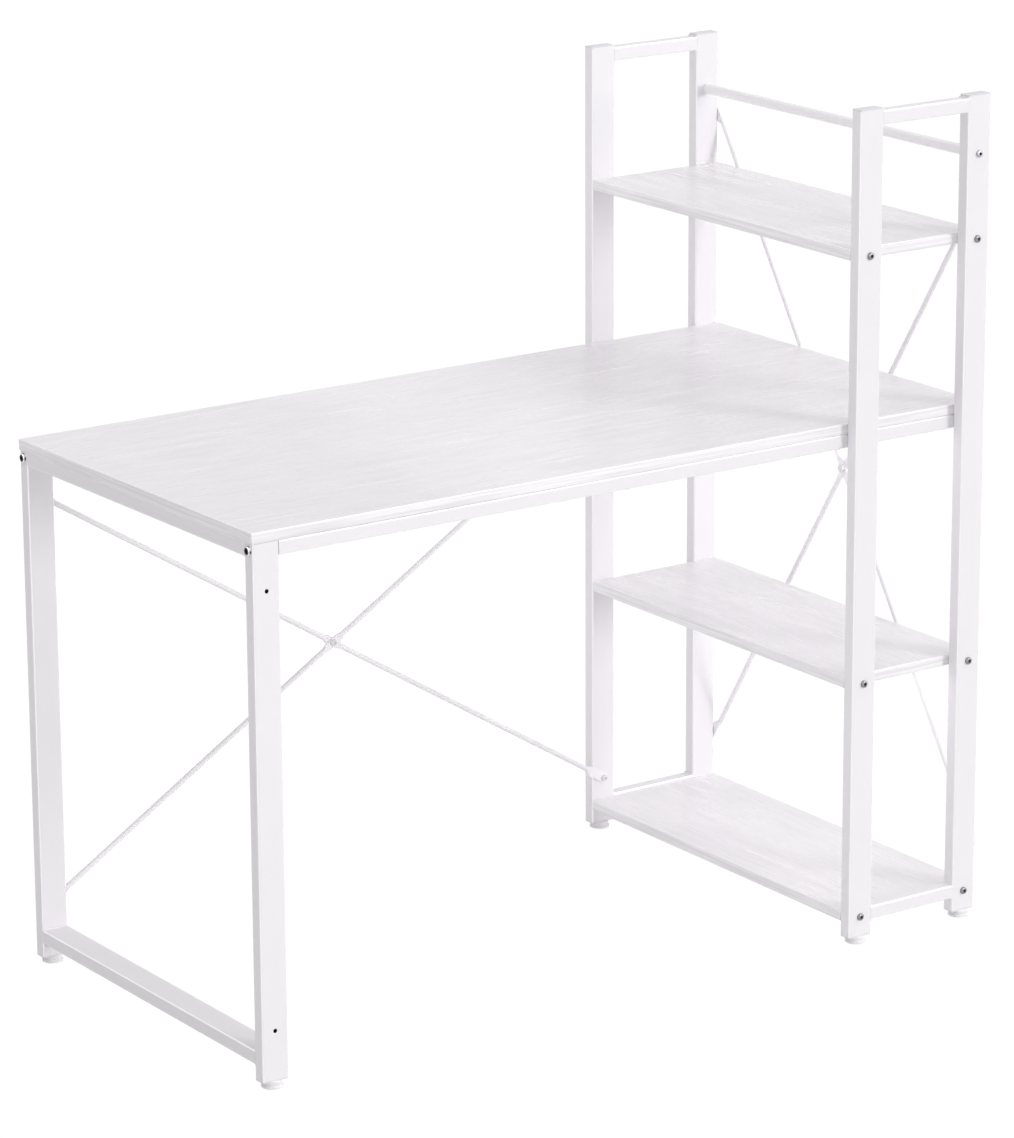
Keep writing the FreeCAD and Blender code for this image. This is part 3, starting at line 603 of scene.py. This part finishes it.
def solids_of(node):
    """Middle of each separate solid of a CAD node, with its lowest and highest corner."""
    deselect()
    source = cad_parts[node]
    copy = bpy.data.objects.new(f"{node}_copy", source.data.copy())
    bpy.context.scene.collection.objects.link(copy)
    copy.select_set(True)
    bpy.context.view_layer.objects.active = copy
    bpy.ops.object.mode_set(mode="EDIT")
    bpy.ops.mesh.select_all(action="SELECT")
    bpy.ops.mesh.remove_doubles(threshold=1e-6)
    bpy.ops.mesh.separate(type="LOOSE")
    bpy.ops.object.mode_set(mode="OBJECT")
    boxes = []
    for part in list(bpy.context.selected_objects):
        corners = [part.matrix_world @ Vector(corner) for corner in part.bound_box]
        low = Vector(min(corner[axis] for corner in corners) for axis in range(3))
        high = Vector(max(corner[axis] for corner in corners) for axis in range(3))
        boxes.append(((low + high) / 2, low, high))
        bpy.data.objects.remove(part)
    return sorted(boxes, key=lambda box: tuple(round(value, 4) for value in box[0]))


def drive_bolts(node, bolt, facing_of, head_height):
    """One bolt for each solid of a CAD node, seated as that solid is."""
    for number, (middle, low, high) in enumerate(solids_of(node), start=1):
        facing = Vector(facing_of(middle))
        tip = Vector(high[axis] if facing[axis] > 0 else low[axis] for axis in range(3))
        seat = Vector(tip[axis] - facing[axis] * head_height if facing[axis] else middle[axis]
                      for axis in range(3))
        piece = copy_to(bolt, f"{bolt.name}_{number:02d}", seat, facing)
        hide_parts(node)
    bpy.data.objects.remove(bolt)


def outwards(middle):
    return (0, 1 if middle.y > 0 else -1, 0)


# The black heads carry a near-white painted highlight round the slope of their dome.
black_zinc = zinc_plate("black_zinc_plate", (0.035, 0.035, 0.037, 1), (0.08, 0.08, 0.085, 1), 0.16,
                        painted_edge_highlight=(0.86, 0.86, 0.88, 1))
bolt = head_bolt("frame_bolt", black_zinc, **LARGE_HEAD, length=0.058, socket=0.0062, inside=socket_shade_dark)
drive_bolts("frame_bolts", bolt, lambda middle: (-1, 0, 0), LARGE_HEAD["head_height"])
bolt = head_bolt("guard_rail_bolt", zinc, **SMALL_HEAD, length=0.033, socket=0.0042, inside=socket_shade_dark)
drive_bolts("guard_rail_bolts", bolt, outwards, SMALL_HEAD["head_height"])
dull_zinc = zinc_plate("dull_zinc_plate", (0.20, 0.20, 0.21, 1), (0.34, 0.34, 0.355, 1), 0.30)
bolt = head_bolt("shelf_bolt", dull_zinc, **SMALL_HEAD, length=0.033, socket=0.0046, inside=socket_shade_grey)
drive_bolts("shelf_bolts", bolt, outwards, SMALL_HEAD["head_height"])

# Brace bolts
# The same bolts hold the rods' pressed ends and the middles where they cross. These are coated
# white with the rods, and painted shade greys the inside of the socket.

coated = powder_coat("coated_bolt", (0.74, 0.72, 0.745, 1), (0.83, 0.81, 0.838, 1))
socket_shade_on_coat = powder_coat("painted_shade_in_coated_socket", (0.62, 0.603, 0.625, 1), (0.74, 0.72, 0.745, 1))


def brace_facing(middle):
    """Away from the right side's tubes, the left legs or the back posts that carry the rods."""
    if middle.x > 0.55:
        return (1, 0, 0)
    return (0, 1, 0) if middle.x < -0.5 else (0, -1, 0)


dress(coated, "brace_crossing_nuts")
for name, length in (("brace_end_bolt", 0.013), ("brace_crossing_bolt", 0.0105)):
    bolt = head_bolt(name, coated, **SMALL_HEAD, length=length, socket=0.0042, inside=socket_shade_on_coat,
                     depth=0.3)
    drive_bolts(f"{name}s", bolt, brace_facing, SMALL_HEAD["head_height"])

# Desktop screws
# White lacquered wood screws with a pan head and a cross recess go up through the aprons and the
# left frame's top rail into the desktop, and only their heads show from below.

_, low, high = solids_of("desktop_screws")[0]
pan_height = 0.0024
# The cross recess is greyed with the same painted shade.
screw = head_bolt("desktop_screw", coated, high.x - low.x, pan_height, shank=0.0039,
                  length=high.z - low.z - pan_height, socket=0.0044, inside=socket_shade_on_coat, depth=0.5,
                  sides=4)
drive_bolts("desktop_screws", screw, lambda middle: (0, 0, -1), pan_height)

# Levelling feet
# Each foot is a moulded white pad with a fluted rim to turn it by, on a zinc plated M8 stud that
# screws into the plug in the tube's end. A chamfer keeps its sole from marking the floor.

foot_plastic = Finish("white_foot_plastic", {"Specular IOR Level": 0.4})
place = foot_plastic.coordinates()
skin = foot_plastic.noise(place, 1500.0)
scuff = foot_plastic.noise(place, 130.0, 4.0)
scuffed, new = (0.84, 0.822, 0.85, 1), (0.93, 0.91, 0.94, 1)
foot_plastic.feed(Base_Color=foot_plastic.between(scuff, scuffed, new),
                  Roughness=0.44 + skin * 0.14,
                  Normal=foot_plastic.bump(0.2, 0.00015, skin))


def mould_pad(radius, height):
    """Foot pad that stands on Z 0, with a flute in every third facet of its side."""
    chamfer, recess_radius, recess_depth, flute_margin = 0.0008, 0.0052, 0.0012, 0.00012
    flange, shoulder, flute_top = 0.30 * height, 0.42 * height, 0.84 * height
    neck, flute_sink, facet = 0.90, 0.965, 5

    def fluted(centre, normal):
        turn = math.degrees(math.atan2(centre.y, centre.x)) / facet - 0.5
        return (abs(normal.z) < 0.5 and shoulder < centre.z < flute_top
                and round(turn) % 3 == 0)

    def upper(centre, normal):
        return abs(normal.z) > 0.9 and centre.z > height * 0.99

    def upper_or_sole(centre, normal):
        return upper(centre, normal) or abs(normal.z) > 0.9 and centre.z < height * 0.01

    deselect()
    bpy.ops.mesh.primitive_cylinder_add(vertices=360 // facet, radius=radius, depth=height,
                                        location=(0, 0, height / 2))
    pad = bpy.context.object
    bpy.ops.object.transform_apply(location=True, rotation=True, scale=True)
    bpy.ops.object.mode_set(mode="EDIT")
    for cut in (flange, shoulder, flute_top):
        bpy.ops.mesh.select_all(action="SELECT")
        bpy.ops.mesh.bisect(plane_co=(0, 0, cut), plane_no=(0, 0, 1))
    pick(lambda co: co.z > (flange + shoulder) / 2)
    bpy.ops.transform.resize(value=(neck, neck, 1), center_override=(0, 0, height))
    pick(fluted, "FACE")
    bpy.ops.mesh.inset(thickness=flute_margin, use_individual=True)
    bpy.ops.transform.resize(value=(flute_sink, flute_sink, 1), center_override=(0, 0, height / 2))
    pick(upper_or_sole, "FACE")
    bpy.ops.mesh.bevel(offset=chamfer, segments=3, affect="EDGES")
    pick(upper, "FACE")
    bpy.ops.mesh.inset(thickness=radius * neck - chamfer - recess_radius)
    bpy.ops.mesh.extrude_region_move(TRANSFORM_OT_translate={"value": (0, 0, -recess_depth)})
    bpy.ops.object.mode_set(mode="OBJECT")
    pad.data.materials.append(foot_plastic.material)
    smooth(pad, 30)
    return pad


def roll_stud(radius, length, pitch=0.00125):
    """Threaded stud that stands on Z 0."""
    depth = pitch / 2
    deselect()
    bpy.ops.mesh.primitive_circle_add(vertices=4, radius=depth, location=(radius - depth, 0, 0),
                                      rotation=(math.pi / 2, 0, 0))
    stud = bpy.context.object
    bpy.ops.object.transform_apply(location=True, rotation=True, scale=True)
    bpy.ops.object.mode_set(mode="EDIT")
    pick(lambda co: co.x < radius - 1.5 * depth)
    bpy.ops.mesh.delete(type="VERT")
    bpy.ops.object.mode_set(mode="OBJECT")
    screw = stud.modifiers.new("thread", "SCREW")
    screw.axis, screw.angle, screw.screw_offset = "Z", 2 * math.pi, pitch
    screw.steps = screw.render_steps = 24
    screw.iterations = int(length / pitch) - 1
    screw.use_merge_vertices = True
    bpy.ops.object.modifier_apply(modifier=screw.name)
    bpy.ops.object.mode_set(mode="EDIT")
    bpy.ops.mesh.select_all(action="SELECT")
    bpy.ops.mesh.remove_doubles(threshold=1e-6)
    bpy.ops.mesh.select_mode(type="EDGE")
    bpy.ops.mesh.select_all(action="DESELECT")
    bpy.ops.mesh.select_non_manifold()
    bpy.ops.mesh.fill_holes(sides=0)
    bpy.ops.mesh.select_all(action="SELECT")
    bpy.ops.mesh.normals_make_consistent(inside=False)
    bpy.ops.transform.translate(value=(0, 0, depth))
    bpy.ops.object.mode_set(mode="OBJECT")
    stud.data.materials.append(zinc.material)
    smooth(stud, 20)
    return stud


STANDS = ("left_front", "left_back", "tower_front_left", "tower_front_right", "tower_back_left",
          "tower_back_right")
low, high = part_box("left_front_foot_pad")
pad = mould_pad((high.y - low.y) / 2, high.z - low.z)
stud_low, stud_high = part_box("left_front_foot_stud")
stud = roll_stud((stud_high.x - stud_low.x) / 2, stud_high.z - stud_low.z)
for stand in STANDS:
    low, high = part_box(f"{stand}_foot_pad")
    x, y, _ = (low + high) / 2
    foot = copy_to(pad, f"{stand}_foot", (x, y, 0), (0, 0, 1), f"{stand}_foot")
    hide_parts(f"{stand}_foot_pad")
    thread = copy_to(stud, f"{stand}_foot_thread", (x, y, stud_low.z), (0, 0, 1),
                     f"{stand}_foot")
    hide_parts(f"{stand}_foot_stud")
for pattern in (pad, stud):
    bpy.data.objects.remove(pattern)

# Studio
# The desk stands in a white room. Large soft lamps light it from the sides and above, two small
# ones at the front draw the shadows, and weak ones stand inside and behind it. The white floor
# lies lower by the feet's travel, so that feet that are screwed out don't sink into it.

# Turn to the right of the front and height over the floor, both in degrees, then the angle that
# the lamp takes up in the sky, and its power.
FAR_LAMPS = {"wide_lamp_right": (75, 25, 60, 0.74), "wide_lamp_left": (-75, 10, 60, 0.67),
             "overhead_lamp": (0, 90, 100, 1.23), "low_front_lamp": (27.5, 5.5, 18, 1.07),
             "high_front_lamp": (32, 37, 14, 0.42)}
# Power, width, depth, place from front to back, height, and turn about X.
PANELS = {"fill_under_desktop": (0.20, 0.14, 0.42, -0.08, 0.722, 0),
          "fill_under_middle_shelf": (0.22, 0.14, 0.42, -0.08, 0.372, 0),
          "fill_under_top_shelf": (0.07, 0.14, 0.42, -0.08, 0.982, 0),
          "fill_under_bottom_shelf": (0.16, 0.20, 0.60, 0, 0.001, math.pi)}
# Power, width and place.
SQUARES = {"fill_in_knee_space": (0.34, 0.3, (-0.15, -0.12, 0.33)),
           "fill_behind_knee_space": (0.50, 0.5, (-0.15, 0.62, 0.36)),
           "fill_over_desktop": (0.36, 0.3, (-0.30, -0.20, 1.14)),
           "fill_behind_tower": (0.42, 0.5, (-0.20, 0.62, 1.08))}
foot_travel, floor_width = 0.0102, 60
room_light, backdrop_light = 0.21, 1.0
paper_white, paper_glow, glow_seen, glow_unseen = 0.80, 1.08, 0.78, 0.10


def seen(tree):
    """1 where the camera, a mirror or a clear piece looks, and 0 for light that falls on things."""
    path = tree.nodes.new("ShaderNodeLightPath")
    total = path.outputs["Is Camera Ray"]
    for name in ("Is Glossy Ray", "Is Transmission Ray"):
        more = tree.nodes.new("ShaderNodeMath")
        more.operation = "MAXIMUM"
        tree.links.new(total, more.inputs[0])
        tree.links.new(path.outputs[name], more.inputs[1])
        total = more.outputs[0]
    return total


world = bpy.data.worlds.new("white_room")
bpy.context.scene.world = world
world.use_nodes = True
tree = world.node_tree
backdrop = tree.nodes["Background"]
strength = tree.nodes.new("ShaderNodeMapRange")
tree.links.new(seen(tree), strength.inputs["Value"])
strength.inputs["To Min"].default_value = room_light
strength.inputs["To Max"].default_value = backdrop_light
tree.links.new(strength.outputs[0], backdrop.inputs["Strength"])
backdrop.inputs["Color"].default_value = (1.0, 1.0, 1.0, 1)

deselect()
bpy.ops.mesh.primitive_plane_add(size=floor_width, location=(0, 0, -foot_travel))
floor = bpy.context.object
floor.name = "floor"
paper = bpy.data.materials.new("white_paper")
paper.use_nodes = True
tree = paper.node_tree
shader = tree.nodes["Principled BSDF"]
shader.inputs["Base Color"].default_value = (paper_white, paper_white, paper_white, 1)
shader.inputs["Roughness"].default_value = 0.9
shader.inputs["Specular IOR Level"].default_value = 0.0
glow = tree.nodes.new("ShaderNodeEmission")
glow.inputs["Strength"].default_value = paper_glow
share = tree.nodes.new("ShaderNodeMath")
share.operation = "MULTIPLY_ADD"
share.inputs[1].default_value = glow_seen
share.inputs[2].default_value = glow_unseen
tree.links.new(seen(tree), share.inputs[0])
mix = tree.nodes.new("ShaderNodeMixShader")
tree.links.new(share.outputs[0], mix.inputs[0])
tree.links.new(shader.outputs[0], mix.inputs[1])
tree.links.new(glow.outputs[0], mix.inputs[2])
tree.links.new(mix.outputs[0], tree.nodes["Material Output"].inputs["Surface"])
floor.data.materials.append(paper)


def stand_lamp(name, kind, power, matrix, hidden=True):
    """Lamp that stands as the matrix says, and that no camera or mirror sees if it is hidden."""
    lamp = bpy.data.lights.new(name, kind)
    lamp.energy = power
    stand = bpy.data.objects.new(name, lamp)
    bpy.context.scene.collection.objects.link(stand)
    stand.matrix_world = matrix
    stand.visible_camera = stand.visible_glossy = not hidden
    return lamp


for name, (turn, height, spread, power) in FAR_LAMPS.items():
    turn, height = math.radians(turn), math.radians(height)
    towards = Vector((math.sin(turn) * math.cos(height), -math.cos(turn) * math.cos(height),
                      math.sin(height)))
    aim = towards.to_track_quat("Z", "Y").to_matrix().to_4x4()
    lamp = stand_lamp(name, "SUN", power, aim, hidden=False)
    lamp.angle = math.radians(spread)
low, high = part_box("bottom_shelf")
tower_x = (low.x + high.x) / 2
for name, (power, width, depth, y, height, turn) in PANELS.items():
    lamp = stand_lamp(name, "AREA", power,
                      Matrix.Translation((tower_x, y, height)) @ Matrix.Rotation(turn, 4, "X"))
    lamp.shape, lamp.size, lamp.size_y = "RECTANGLE", width, depth
face_right = Matrix.Rotation(-math.pi / 2, 4, "Y")
for name, (power, width, place) in SQUARES.items():
    lamp = stand_lamp(name, "AREA", power, Matrix.Translation(place) @ face_right)
    lamp.shape, lamp.size = "SQUARE", width

# Camera
# It stands well back to the front left of the desk and above it, with a long lens. Its turns are
# in radians: towards the desk's right, down, and sideways.

heading, tilt, lean = 0.607582, 0.278356, 0.0053025
camera_place = (-3.7302, -5.3704, 2.4124)
focal_pixels, picture_height, sensor = 4862.2, 1138, 36
camera = bpy.data.objects.new("camera", bpy.data.cameras.new("camera"))
bpy.context.scene.collection.objects.link(camera)
camera.data.lens = focal_pixels * sensor / picture_height
camera.data.sensor_width = sensor
camera.data.clip_end = 100
camera.matrix_world = (Matrix.Translation(camera_place) @ Matrix.Rotation(-heading, 4, "Z")
                       @ Matrix.Rotation(math.pi / 2 - tilt, 4, "X")
                       @ Matrix.Rotation(-lean, 4, "Z"))
bpy.context.scene.camera = camera
bpy.context.scene.view_settings.view_transform = "Standard"
